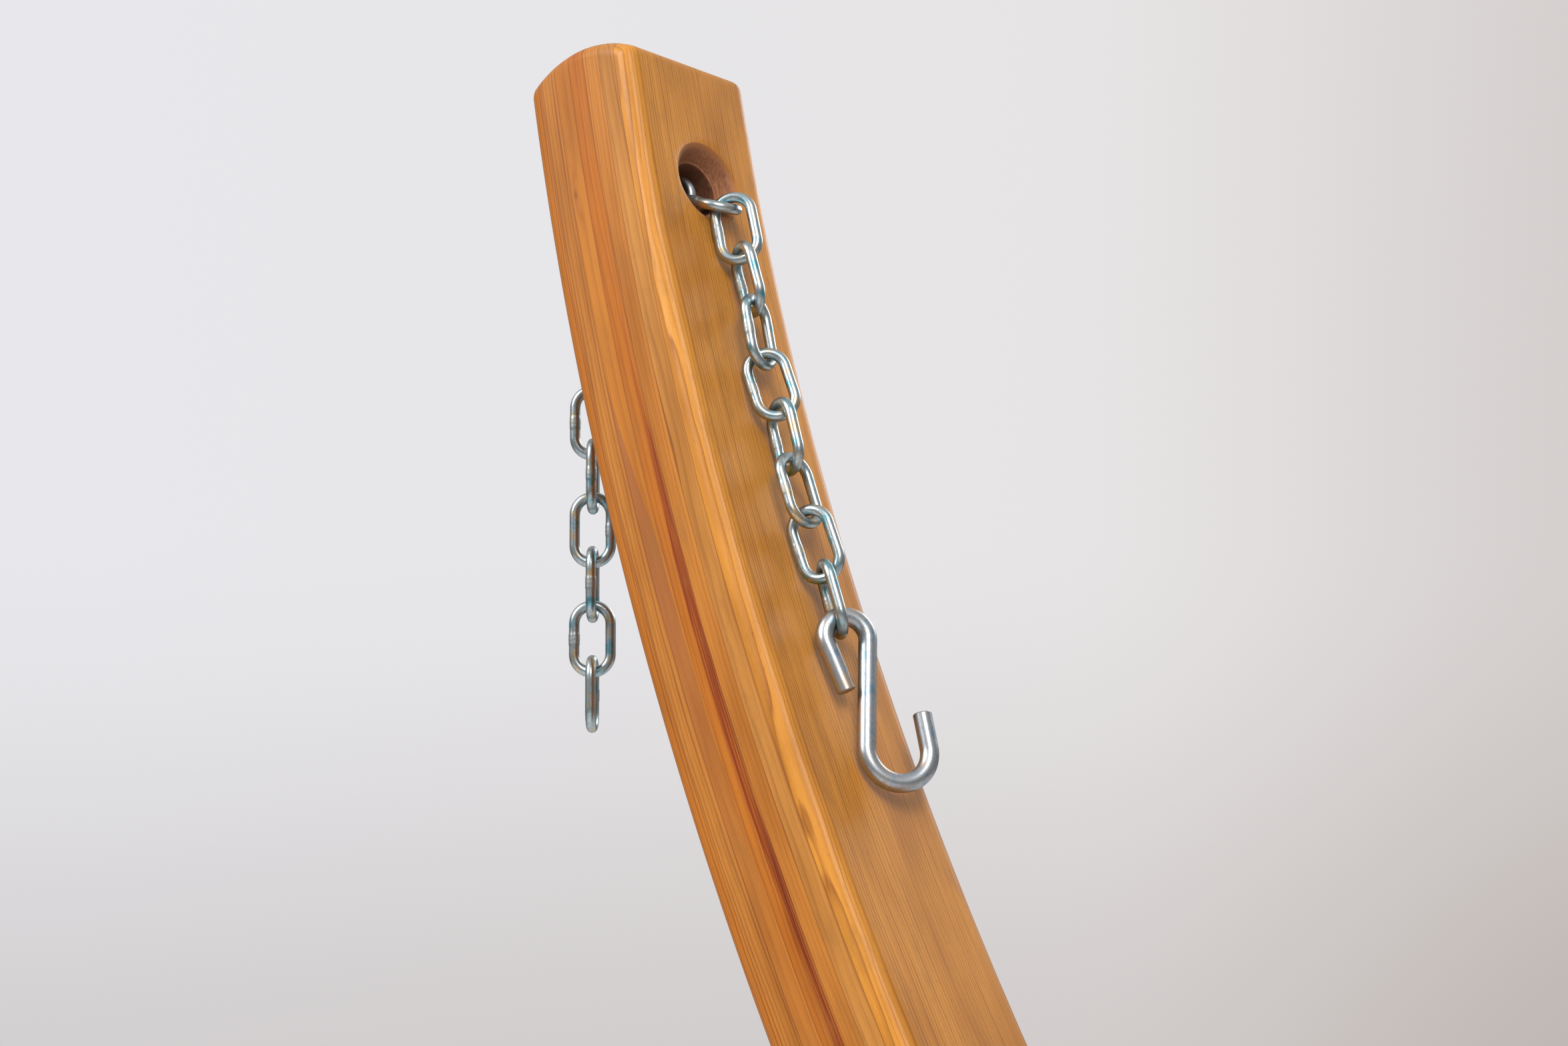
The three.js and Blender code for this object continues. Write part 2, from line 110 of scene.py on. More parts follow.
def points_of(mesh):
    co = np.zeros(len(mesh.vertices) * 3)
    mesh.vertices.foreach_get("co", co)
    return co.reshape(-1, 3) / MM


def merge(mesh, distance=0.002):
    """Joins vertices that lie together, closes open ends and turns all faces outwards."""
    bm = bmesh.new()
    bm.from_mesh(mesh)
    bmesh.ops.remove_doubles(bm, verts=bm.verts, dist=distance * MM)
    bmesh.ops.holes_fill(bm, edges=[e for e in bm.edges if e.is_boundary], sides=0)
    bmesh.ops.recalc_face_normals(bm, faces=bm.faces)
    bm.to_mesh(mesh)
    bm.free()


def cut(mesh, *tools):
    """mesh less each tool, as a new mesh."""
    base = bpy.data.objects.new("cut", mesh)
    bpy.context.collection.objects.link(base)
    others = []
    for tool in tools:
        other = bpy.data.objects.new("tool", tool)
        bpy.context.collection.objects.link(other)
        step = base.modifiers.new("cut", "BOOLEAN")
        step.operation = "DIFFERENCE"
        step.solver = "EXACT"
        step.object = other
        others.append(other)
    graph = bpy.context.evaluated_depsgraph_get()
    result = bpy.data.meshes.new_from_object(base.evaluated_get(graph))
    for o in [base, *others]:
        bpy.data.objects.remove(o)
    return result


def attribute(mesh, name, kind, values):
    layer = mesh.attributes.new(name, kind, "POINT")
    flat = np.asarray(values, np.float32).ravel()
    layer.data.foreach_set("vector" if kind == "FLOAT_VECTOR" else "value", flat)


def piece(name, mesh, materials, body, node, sharp=30):
    for material in materials:
        mesh.materials.append(material)
    mesh.polygons.foreach_set("use_smooth", [True] * len(mesh.polygons))
    mesh.set_sharp_from_angle(angle=math.radians(sharp))
    obj = bpy.data.objects.new(name, mesh)
    bpy.context.collection.objects.link(obj)
    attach(obj, body)
    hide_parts(node)
    return obj


def unit(v):
    v = np.asarray(v, float)
    return v / np.linalg.norm(v)


def frame_along(direction):
    """Two directions square to this one and to each other."""
    side = unit(np.cross(direction, (0.0, 0.0, 1.0) if abs(direction[2]) < 0.9 else (1.0, 0.0, 0.0)))
    return side, np.cross(direction, side)


def lathe(outline, foot, direction, sides=40, turn=0.0):
    """outline is (radius, height) pairs, turned about a line from foot along direction."""
    side, other = frame_along(direction)
    points, faces = [], []
    for radius, height in outline:
        for i in range(sides):
            a = turn + 2 * math.pi * i / sides
            out = side * math.cos(a) + other * math.sin(a)
            points.append(np.asarray(foot) + direction * height + out * max(radius, 0.001))
    for ring in range(len(outline) - 1):
        for i in range(sides):
            a, b = ring * sides + i, ring * sides + (i + 1) % sides
            faces.append((a, b, b + sides, a + sides))
    return np.array(points), faces


def sweep(path, outs, normal, radii, sides, closed):
    """A tube in a plane: outs are the in-plane directions square to the path."""
    points, faces = [], []
    for at, out, radius in zip(path, outs, radii):
        for i in range(sides):
            a = 2 * math.pi * i / sides
            points.append(at + radius * (math.cos(a) * out + math.sin(a) * normal))
    count = len(path)
    for ring in range(count if closed else count - 1):
        for i in range(sides):
            a, b = ring * sides + i, ring * sides + (i + 1) % sides
            c, d = ((ring + 1) % count) * sides + (i + 1) % sides, ((ring + 1) % count) * sides + i
            faces.append((a, b, c, d))
    return np.array(points), faces


# ---- the arm's own coordinates: along the arc from the bore, inward, across ----
def arm_point(along, inward, across):
    angle = BORE_ANGLE + along / ARC_RADIUS
    reach = ARC_RADIUS - inward
    z = ARC_CENTRE_Z - reach * np.sin(angle)
    return np.stack([-reach * np.cos(angle), across + 0 * angle, z], axis=-1)


def arm_coordinates(points):
    down = ARC_CENTRE_Z - points[:, 2]
    angle = np.arctan2(down, -points[:, 0])
    inward = ARC_RADIUS - np.hypot(points[:, 0], down)
    return np.stack([(angle - BORE_ANGLE) * ARC_RADIUS, points[:, 1], inward], axis=-1)


def end_lean(along, inward):
    """How far the end, cut a little askew, stands up beyond a square one."""
    share = np.clip((-along - LEAN_FROM) / (BORE_FROM_END - LEAN_FROM), 0.0, 1.0)
    return END_LEAN * share * (1 - 2 * inward / ARM_DEPTH)


def arm_stations():
    last = (math.pi / 2 - BORE_ANGLE) * ARC_RADIUS - HALF_JOINT_GAP
    fine = np.arange(-BORE_FROM_END + 4, 360, 6.4)
    return [*fine, *np.linspace(360, last, 76)]


def arm_outline(swell):
    """The arm's side view less its arris radius: (along, inward) points with the way outwards."""
    half = ARM_DEPTH / 2 + swell
    crown_radius = (half**2 + END_CROWN**2) / (2 * END_CROWN)
    centre = -BORE_FROM_END - END_CROWN - swell + crown_radius
    inner_radius = crown_radius - ARRIS
    inner_half = half - ARRIS
    edge = math.asin(inner_half / inner_radius)
    corner = centre - inner_radius * math.cos(edge)
    side = [(a, inner_half, 0.0, 1.0) for a in arm_stations() if a > corner + 1]
    for turn in np.linspace(math.pi / 2, edge, 9):
        side.insert(0, (corner, inner_half, -math.cos(turn), math.sin(turn)))
    for turn in np.linspace(edge, 0, 12)[1:]:
        at = (centre - inner_radius * math.cos(turn), inner_radius * math.sin(turn))
        side.insert(0, (*at, -math.cos(turn), math.sin(turn)))
    other = [(a, -n, da, -dn) for a, n, da, dn in reversed(side)]
    return np.array(other + side[1:]), len(side)


def arm_solid(swell=0.0):
    outline, rows = arm_outline(swell)
    half = ARM_WIDTH / 2 + swell
    round_over = [math.radians(b) for b in (90, 75, 60, 45, 30, 15, 0)]
    columns = [(-(half - ARRIS) - ARRIS * math.sin(b), ARRIS * math.cos(b)) for b in round_over]
    flat = half - ARRIS - 1.0
    columns += [(y, ARRIS) for y in np.linspace(-flat, flat, 12)]
    columns += [(-y, k) for y, k in reversed(columns[:7])]
    points, faces = [], []
    for a, n, da, dn in outline:
        for y, k in columns:
            points.append((a + k * da, n + k * dn, y))
    wide = len(columns)
    for u in range(len(outline) - 1):
        for v in range(wide - 1):
            at = u * wide + v
            faces.append((at, at + 1, at + wide + 1, at + wide))
    apex = rows - 1
    shares = (0.0, 0.03, 0.2, 0.4, 0.6, 0.8, 0.97, 1.0)
    for y in (-half, half):
        start = len(points)
        for r in range(1, rows):
            low, high = outline[apex - r], outline[apex + r]
            for s in shares:
                points.append((low[0], low[1] + (high[1] - low[1]) * s, y))
        for r in range(rows - 2):
            for c in range(len(shares) - 1):
                at = start + r * len(shares) + c
                faces.append((at, at + 1, at + len(shares) + 1, at + len(shares)))
        points.append((outline[apex][0], 0.0, y))
        for c in range(len(shares) - 1):
            faces.append((start + c, start + c + 1, len(points) - 1))
    a, n, y = np.array(points).T
    mesh = mesh_of("arm", arm_point(a - end_lean(a, n), n, y), faces)
    merge(mesh)
    return mesh


def bore_axis():
    middle = arm_point(0.0, 0.0, 0.0)
    return middle, unit(arm_point(0.0, 1.0, 0.0) - middle)


def bore_tool():
    """A softly flared rim at each face, a fine step, and the straight bore."""
    face = ARM_DEPTH / 2
    ledge = 0.9
    rim = []
    for depth in (-3.0, -1.0, -0.3, 0.0, 0.4, 1.0, 1.8, 3.0, 4.5, 6.0, BORE_LEDGE_DEPTH):
        cone = (BORE_RIM_RADIUS - 0.3 - BORE_RADIUS - ledge) * (1 - depth / BORE_LEDGE_DEPTH)
        flare = 1.6 * math.exp(-depth / 1.0) if depth > 0 else 1.6 - 2.2 * depth
        rim.append((BORE_RADIUS + ledge + cone + flare, face - depth))
    half = [(0.0, face + 3.0), *rim, (BORE_RADIUS, face - BORE_LEDGE_DEPTH - 0.4)]
    outline = half + [(r, -h) for r, h in reversed(half)]
    middle, inward = bore_axis()
    mesh = mesh_of("bore", *lathe(outline, middle, inward, 64))
    merge(mesh)
    return mesh


def mark_bore(mesh):
    """The bore's own faces take the mesh's second material."""
    middle, inward = bore_axis()
    for face in mesh.polygons:
        at = np.array(face.center) / MM - middle
        depth = abs(at @ inward)
        far = np.linalg.norm(at - (at @ inward) * inward)
        if far < BORE_RIM_RADIUS + 1.6 and depth < ARM_DEPTH / 2 - 0.12:
            face.material_index = 1


def wood_attributes(mesh, grain, board):
    attribute(mesh, "grain", "FLOAT_VECTOR", grain * MM)
    attribute(mesh, "board", "FLOAT", np.full(len(mesh.vertices), float(board)))


def turn_mesh(mesh, board):
    """The same mesh on the other half of the stand, as a board of its own."""
    other = mesh.copy()
    other.transform(Matrix.Rotation(math.pi, 4, "Z"))
    other.attributes["board"].data.foreach_set("value", [float(board)] * len(other.vertices))
    return other


def add_arms(wood, bore_wood):
    left = cut(arm_solid(), bore_tool())
    wood_attributes(left, arm_coordinates(points_of(left)), 0)
    right = turn_mesh(left, 1)
    # only the left bore, the one that is seen from close by, gets a wood of its own
    mark_bore(left)
    for side, mesh in (("left", left), ("right", right)):
        piece(f"larch_arm_{side}", mesh, [wood, bore_wood], "stand", f"arm_{side}")


# ---- cross feet ----
def foot_section(y, inset, ease):
    """A ring round the foot's section at y, its corners rounded."""
    t = y / (FOOT_LENGTH / 2)
    top = FOOT_END_HEIGHT + (FOOT_TOP - FOOT_END_HEIGHT) * (1 - t * t) - inset
    arch = max(0.0, 1 - (y / (FOOT_ARCH_LENGTH / 2)) ** 2)
    bottom = FOOT_ARCH_HEIGHT * arch + inset
    half = FOOT_WIDTH / 2 - inset
    ring = []
    for cx, cz, start in ((1, 1, 0), (-1, 1, 90), (-1, -1, 180), (1, -1, 270)):
        for step in range(0, 91, 18):
            a = math.radians(start + step)
            z = (top - ease if cz > 0 else bottom + ease) + ease * math.sin(a)
            ring.append((cx * (half - ease) + ease * math.cos(a), z))
    return ring


def foot_solid():
    ease = FOOT_EASE
    half = FOOT_LENGTH / 2
    ends = [(half - ease + ease * math.sin(math.radians(b)), ease * (1 - math.cos(math.radians(b))))
            for b in (0, 18, 36, 54, 72, 90)]
    stations = [(-y, inset) for y, inset in reversed(ends)]
    stations += [(y, 0.0) for y in np.linspace(-half + 12, half - 12, 97)]
    stations += ends
    points, faces = [], []
    for y, inset in stations:
        for x, z in foot_section(y, inset, max(ease - inset, 0.05)):
            points.append((x - FOOT_X, y, z))
    wide = len(points) // len(stations)
    for s in range(len(stations) - 1):
        for i in range(wide):
            a, b = s * wide + i, s * wide + (i + 1) % wide
            faces.append((a, b, b + wide, a + wide))
    mesh = mesh_of("foot", points, faces)
    merge(mesh)
    return mesh


def add_feet(wood):
    left = cut(foot_solid(), arm_solid(FIT_GAP))
    points = points_of(left)
    grain = np.stack([points[:, 1], points[:, 0] + FOOT_X, points[:, 2]], axis=-1)
    wood_attributes(left, grain, 2)
    right = turn_mesh(left, 3)
    for side, mesh in (("left", left), ("right", right)):
        piece(f"larch_foot_{side}", mesh, [wood], "stand", f"foot_{side}")


# ---- fasteners ----
def hex_radius(angle):
    """How far a hexagon's edge is from its centre, where its corners are at 1."""
    sector = math.pi / 3
    return math.cos(sector / 2) / math.cos(angle % sector - sector / 2)


def hex_head(foot, direction, corner, height, chamfer):
    points, faces = lathe(
        [(0, 0), (corner, 0), (corner, 0.2), (corner, height - chamfer), (corner, height), (0, height)],
        foot, direction, 48)
    side, other = frame_along(direction)
    for i, p in enumerate(points):
        at = p - foot
        up = at @ direction
        x, y = at @ side, at @ other
        far = math.hypot(x, y)
        if far > 0.1:
            edge = corner * hex_radius(math.atan2(y, x) % (2 * math.pi))
            limit = corner * math.cos(math.pi / 6) - 0.3 if up > height - 0.01 else corner
            new = min(edge, limit)
            points[i] = foot + direction * up + (side * x + other * y) / far * new
    return points, faces


def joined(*parts):
    points, faces, offset = [], [], 0
    for own, own_faces in parts:
        points.append(own)
        faces += [tuple(i + offset for i in face) for face in own_faces]
        offset += len(own)
    return np.concatenate(points), faces


def dome(radius, base, top, steps=8):
    """(radius, height) pairs of a round cap from base up to top."""
    return [(radius * math.cos(a), base + (top - base) * math.sin(a))
            for a in np.linspace(0, math.pi / 2, steps)]


def foot_screw(across):
    along = (math.acos(FOOT_X / (ARC_RADIUS + ARM_DEPTH / 2)) - BORE_ANGLE) * ARC_RADIUS
    seat = ARM_DEPTH / 2 + 0.8
    head = arm_point(along, seat, across)
    out = unit(head - arm_point(along, seat - 10, across))
    shank = lathe([(0, -108), (1.5, -108), (5, -100), (5, 0.1), (0, 0.1)], head, out, 24)
    return joined(hex_head(head, out, 11.0, 6.5, 1.2), shank)


def splice_bolt(x):
    front = np.array([x, -SPLICE_FACE, SPLICE_Z])
    out = np.array([0.0, -1.0, 0.0])
    length = 2 * SPLICE_FACE + 8.4
    outline = [(0, -length), (4.4, -length), (5, -length + 0.8), (5, 0), (10.6, 0), (11, 0.4)]
    return lathe(outline + dome(11.0, 0.9, 5.0), front, out)


def splice_nut(x):
    back = np.array([x, SPLICE_FACE, SPLICE_Z])
    out = np.array([0.0, 1.0, 0.0])
    cap = lathe([(0, 6.6), (7.4, 6.6), (7.4, 7.4), *dome(7.4, 7.8, 14.0)], back, out)
    return joined(hex_head(back, out, 10.0, 7.2, 1.0), cap)


def add_fasteners(zinc):
    for end, across in (("front", -FOOT_SCREW_ACROSS), ("back", FOOT_SCREW_ACROSS)):
        points, faces = foot_screw(across)
        for side, own in (("left", points), ("right", turned(points))):
            node = f"foot_screw_{end}_{side}"
            mesh = mesh_of(node, own, faces)
            merge(mesh)
            piece(f"steel_{node}", mesh, [zinc], "stand", node)
    for i, x in enumerate(SPLICE_BOLT_X, 1):
        for kind, shape in (("bolt", splice_bolt(x)), ("nut", splice_nut(x))):
            node = f"splice_{kind}_{i}"
            mesh = mesh_of(node, *shape)
            merge(mesh)
            piece(f"steel_{node}", mesh, [zinc], "stand", node)


def dress_plates(frame, steel):
    """The two splice plates keep their frame shape and get eased edges."""
    for side in ("front", "back"):
        node = frame["nodes"][f"splice_plate_{side}"]
        node.data.materials.clear()
        node.data.materials.append(steel)
        ease = node.modifiers.new("ease", "BEVEL")
        ease.width = 0.6 * MM
        ease.segments = 2
        ease.limit_method = "ANGLE"
        ease.angle_limit = math.radians(50)


# ---- chain ----
def link_frame(node):
    """Centre, direction and lateral of a link in the frame, from the spread of its own mesh."""
    points = np.unique(np.round(points_of(node.data), 3), axis=0)
    centre = points.mean(0)
    axes = np.linalg.svd(points - centre, full_matrices=False)[2]
    return centre, axes[0], axes[1]


def link_path():
    """Wire centre of a link and the way outwards, with how far each point is from the weld."""
    straight = LINK_HALF - LINK_BOW
    path, outs = [], []
    for sign, start in ((1, 0.0), (-1, math.pi)):
        for a in np.linspace(start, start + math.pi, 25):
            outs.append((math.cos(a), math.sin(a)))
            path.append((LINK_BOW * math.cos(a), sign * straight + LINK_BOW * math.sin(a)))
        for y in np.linspace(sign * straight, -sign * straight, 22)[1:-1]:
            outs.append((-sign, 0.0))
            path.append((-sign * LINK_BOW, y))
    return np.array(path), np.array(outs)


def weld_swell(path, weld_side, seed):
    """The butt weld in the middle of one straight side: a small rough swelling."""
    swell, weld = [], []
    for i, (x, y) in enumerate(path):
        near = 1.0 if x * weld_side > LINK_BOW * 0.99 else 0.0
        hump = 0.22 * math.exp(-((y / 2.0) ** 2))
        rims = 0.14 * (math.exp(-(((y - 2.0) / 0.5) ** 2)) + math.exp(-(((y + 2.3) / 0.5) ** 2)))
        rough = 0.05 * noise.noise((seed * 7.1, y * 1.7, i * 0.4)) * math.exp(-((y / 3.5) ** 2))
        swell.append(near * (hump + rims + rough))
        weld.append(near * math.exp(-((y / 2.6) ** 2)))
    return np.array(swell), np.array(weld)


def link_mesh(name, place, weld_side, seed):
    sides = 18
    centre, direction, lateral = place
    normal = np.cross(lateral, direction)
    path, outs = link_path()
    swell, weld = weld_swell(path, weld_side, seed)
    spine = centre + path[:, :1] * lateral + path[:, 1:] * direction
    ways = outs[:, :1] * lateral + outs[:, 1:] * direction
    points, faces = sweep(spine, ways, normal, WIRE / 2 - LINK_PLAY + swell, sides, True)
    mesh = mesh_of(name, points, faces)
    length = np.concatenate([[0], np.cumsum(np.linalg.norm(np.diff(path, axis=0), axis=1))])
    wire_attributes(mesh, length, sides, WIRE / 2, seed, weld)
    return mesh


def wire_attributes(mesh, length, sides, radius, seed, weld):
    """Where each point is along and round the wire, for the drawing marks and the weld."""
    turn = np.tile(np.arange(sides) * 2 * math.pi / sides, len(length))
    along = np.repeat(length, sides)
    place = np.stack([along + 97.0 * seed, radius * np.cos(turn), radius * np.sin(turn)], axis=-1)
    attribute(mesh, "wire", "FLOAT_VECTOR", place * MM)
    attribute(mesh, "weld", "FLOAT", np.repeat(weld, sides))


def add_link(frame, zinc, node, body, seed):
    place = link_frame(frame["nodes"][node])
    weld_side = -1 if seed % 3 else 1
    toward = np.sign(place[2] @ np.array([0.3, 1.0, 0.1])) or 1.0
    mesh = link_mesh(node, place, weld_side * toward, seed)
    piece(f"steel_{node}", mesh, [zinc], body, node)


def add_chains(frame, zinc):
    for half, side in enumerate(("left", "right")):
        add_link(frame, zinc, f"bore_link_{side}", "stand", 40 + half)
        for run, count, start in (("front", FRONT_LINKS, 0), ("rear", REAR_LINKS, 20)):
            for i in range(1, count + 1):
                node = f"{run}_link_{i:02d}_{side}"
                add_link(frame, zinc, node, node, start + i + 50 * half)


# ---- S-hooks ----
def hook_line():
    """The hook's wire centre in its own plane (X across, Y down), evenly spaced."""
    lean = math.asin((HOOK_UPPER_BOW + HOOK_LOWER_BOW) / math.hypot(*HOOK_OFFSET))
    shank = lean - math.atan2(*HOOK_OFFSET)
    over = [(HOOK_UPPER_BOW * math.cos(a), HOOK_UPPER_BOW * math.sin(a))
            for a in np.linspace(HOOK_UPPER_LEG_ANGLE, shank + 2 * math.pi, 40)]
    under = [(HOOK_OFFSET[0] + HOOK_LOWER_BOW * math.cos(a),
              HOOK_OFFSET[1] + HOOK_LOWER_BOW * math.sin(a))
             for a in np.linspace(shank + math.pi, HOOK_LOWER_LEG_ANGLE, 48)]
    upper_leg = (over[0][0] + HOOK_UPPER_LEG * math.sin(HOOK_UPPER_LEG_ANGLE),
                 over[0][1] - HOOK_UPPER_LEG * math.cos(HOOK_UPPER_LEG_ANGLE))
    lower_leg = (under[-1][0] + HOOK_LOWER_LEG * math.sin(HOOK_LOWER_LEG_ANGLE),
                 under[-1][1] - HOOK_LOWER_LEG * math.cos(HOOK_LOWER_LEG_ANGLE))
    line = np.array([upper_leg, *over, *under, lower_leg])
    length = np.concatenate([[0], np.cumsum(np.linalg.norm(np.diff(line, axis=0), axis=1))])
    even = np.linspace(0, length[-1], 180)
    return np.stack([np.interp(even, length, line[:, k]) for k in (0, 1)], axis=-1), even


def hook_ends(line, even):
    """The line with rings added at both ends for a small chamfer and a flat cut face."""
    radius = HOOK_WIRE / 2
    chamfer = 0.45
    start, finish = line[0], line[-1]
    back, ahead = unit(line[0] - line[1]), unit(line[-1] - line[-2])
    first = [(start, 0.01), (start, radius * 0.6), (start, radius - chamfer)]
    last = [(finish, radius - chamfer), (finish, radius * 0.6), (finish, 0.01)]
    inner = [(start - back * chamfer, radius), *[(p, radius) for p in line[2:-2]],
             (finish - ahead * chamfer, radius)]
    rows = [*first, *inner, *last]
    path = np.array([p for p, _ in rows])
    length = np.interp(np.arange(len(rows)), [2, len(rows) - 3], [even[0], even[-1]])
    travel = np.gradient(path[2:-2], axis=0)
    travel = travel / np.linalg.norm(travel, axis=1)[:, None]
    travel = np.concatenate([[-back, -back], travel, [ahead, ahead]])
    travel[2], travel[-3] = -back, ahead
    return path, travel, np.array([r for _, r in rows]), length


def lateral_of(direction, twist):
    in_plane = unit(np.cross(direction, (0.0, 1.0, 0.0)))
    sideways = np.cross(in_plane, direction)
    angle = math.radians(twist)
    return in_plane * math.cos(angle) + sideways * math.sin(angle)


def hook_place(frame):
    """The left hook's upper bow centre, the way it hangs and its lateral."""
    centre, direction, _ = link_frame(frame["nodes"][f"front_link_{FRONT_LINKS:02d}_left"])
    direction = direction * (-1 if direction[2] > 0 else 1)
    joint = centre + direction * LINK_HALF
    cos, sin = math.cos(HOOK_TILT), math.sin(HOOK_TILT)
    x, y, z = direction
    hang = np.array([x * cos + z * sin, y, z * cos - x * sin])
    lateral = lateral_of(hang, HOOK_TWIST)
    return joint + hang * HOOK_SEAT + lateral * HOOK_SHIFT, hang, lateral


def add_hooks(frame, zinc):
    sides = 28
    centre, hang, lateral = hook_place(frame)
    normal = np.cross(lateral, hang)
    path, travel, radii, length = hook_ends(*hook_line())
    spine = centre + path[:, :1] * lateral + path[:, 1:] * hang
    ways = travel[:, 1:] * lateral - travel[:, :1] * hang
    points, faces = sweep(spine, ways, normal, radii, sides, False)
    for half, side in enumerate(("left", "right")):
        own = turned(points) if half else points
        mesh = mesh_of(f"hook_{side}", own, faces)
        wire_attributes(mesh, length, sides, HOOK_WIRE / 2, 60 + half, np.zeros(len(length)))
        merge(mesh, 0.05)
        node = f"s_hook_{side}"
        piece(f"steel_{node}", mesh, [zinc], node, node, sharp=38)


# ---- materials ----
def rgb(r, g, b):
    """A screen colour, 0 to 255, as the linear colour that the shader takes."""
    return (*[(c / 12.92 if c <= 0.04045 else ((c + 0.055) / 1.055) ** 2.4)
              for c in (r / 255, g / 255, b / 255)], 1.0)


class Graph:
    """A node tree, written as plain calls: a new material's, or the world's."""

    def __init__(self, name, tree=None):
        if tree:
            self.tree = tree
            return
        self.material = bpy.data.materials.new(name)
        self.material.use_nodes = True
        self.tree = self.material.node_tree
        self.tree.nodes.clear()
        output = self.tree.nodes.new("ShaderNodeOutputMaterial")
        self.shader = self.tree.nodes.new("ShaderNodeBsdfPrincipled")
        self.tree.links.new(self.shader.outputs[0], output.inputs["Surface"])

    def feed(self, socket, value):
        if isinstance(value, bpy.types.NodeSocket):
            self.tree.links.new(value, socket)
        else:
            socket.default_value = value

    def add(self, kind, inputs, **settings):
        node = self.tree.nodes.new(kind)
        for key, value in settings.items():
            setattr(node, key, value)
        for key, value in inputs.items():
            self.feed(node.inputs[key], value)
        return node

    def value(self, name, kind="Fac"):
        return self.add("ShaderNodeAttribute", {}, attribute_name=name).outputs[kind]

    def math(self, operation, a, b=0.0, c=0.0):
        return self.add("ShaderNodeMath", {0: a, 1: b, 2: c}, operation=operation).outputs[0]

    def split(self, vector):
        return self.add("ShaderNodeSeparateXYZ", {0: vector}).outputs

    def vector(self, x, y, z):
        return self.add("ShaderNodeCombineXYZ", {0: x, 1: y, 2: z}).outputs[0]

    def scaled(self, vector, scale):
        node = self.add("ShaderNodeVectorMath", {0: vector, 1: scale}, operation="MULTIPLY")
        return node.outputs[0]

    def noise(self, vector, scale=1.0, detail=2.0, rough=0.5):
        inputs = {"Vector": vector, "Scale": scale, "Detail": detail, "Roughness": rough}
        return self.add("ShaderNodeTexNoise", inputs).outputs["Fac"]

    def white(self, vector):
        return self.add("ShaderNodeTexWhiteNoise", {"Vector": vector}).outputs["Value"]

    def span(self, value, low, high, to_low=0.0, to_high=1.0, smooth=False):
        inputs = {0: value, 1: low, 2: high, 3: to_low, 4: to_high}
        kind = "SMOOTHSTEP" if smooth else "LINEAR"
        return self.add("ShaderNodeMapRange", inputs, interpolation_type=kind).outputs[0]

    def ramp(self, value, stops, interpolation="LINEAR"):
        node = self.add("ShaderNodeValToRGB", {0: value})
        ramp = node.color_ramp
        ramp.interpolation = interpolation
        while len(ramp.elements) < len(stops):
            ramp.elements.new(1.0)
        for element, (position, colour) in zip(ramp.elements, stops):
            element.position = position
            element.color = colour
        return node.outputs["Color"]

    def mix(self, factor, a, b, blend="MIX"):
        node = self.add("ShaderNodeMix", {0: factor, 6: a, 7: b}, data_type="RGBA", blend_type=blend)
        return node.outputs[2]

    def bump(self, height, strength, distance):
        inputs = {"Height": height, "Strength": strength, "Distance": distance}
        return self.add("ShaderNodeBump", inputs).outputs[0]

    def surface(self, **inputs):
        for key, value in inputs.items():
            self.feed(self.shader.inputs[key.replace("_", " ")], value)
        return self.material


def grey(v):
    return (v, v, v, 1.0)


# one row for each lamella, outermost first: wood, late wood, ring width in mm, ring slant
# (0 with the flat of the lamella, 1 square to it) and how far the rings wander in mm
LAMELLAE = (
    (rgb(188, 116, 42), rgb(128, 66, 24), 1.3, 0.15, 1.4),
    (rgb(192, 126, 54), rgb(136, 76, 34), 1.9, 0.2, 2.0),
    (rgb(192, 122, 46), rgb(150, 84, 32), 4.2, 0.1, 5.0),
    (rgb(190, 114, 38), rgb(140, 68, 24), 2.0, 0.25, 2.4),
    (rgb(194, 126, 52), rgb(144, 78, 32), 1.5, 0.3, 2.0),
    (rgb(196, 136, 66), rgb(142, 86, 40), 1.8, 0.5, 2.8),
    (rgb(218, 150, 60), rgb(152, 90, 32), 1.35, 0.84, 3.2),
)
BOARDS = (
    (rgb(198, 128, 52), rgb(148, 82, 32), 3.2, 0.5, 7.0),
    (rgb(192, 120, 46), rgb(140, 76, 30), 2.2, 0.7, 5.0),
    (rgb(204, 134, 56), rgb(154, 88, 36), 3.8, 0.4, 8.0),
    (rgb(196, 124, 50), rgb(144, 80, 32), 2.6, 0.6, 6.0),
)
WIDEST_RING = 6.0
WIDEST_WANDER = 8.0


def lamella_tables(g, share, rows):
    """Each lamella's wood colour, late wood colour, ring width, slant and wander."""
    starts = [i / len(rows) for i in range(len(rows))]
    wood = g.ramp(share, [(s, r[0]) for s, r in zip(starts, rows)], "CONSTANT")
    late = g.ramp(share, [(s, r[1]) for s, r in zip(starts, rows)], "CONSTANT")
    shape = [(s, (r[2] / WIDEST_RING, r[3], r[4] / WIDEST_WANDER, 1.0)) for s, r in zip(starts, rows)]
    width, slant, wander = g.split(g.ramp(share, shape, "CONSTANT"))
    width = g.math("MULTIPLY", width, WIDEST_RING)
    wander = g.math("MULTIPLY", wander, WIDEST_WANDER)
    return wood, late, width, slant, wander


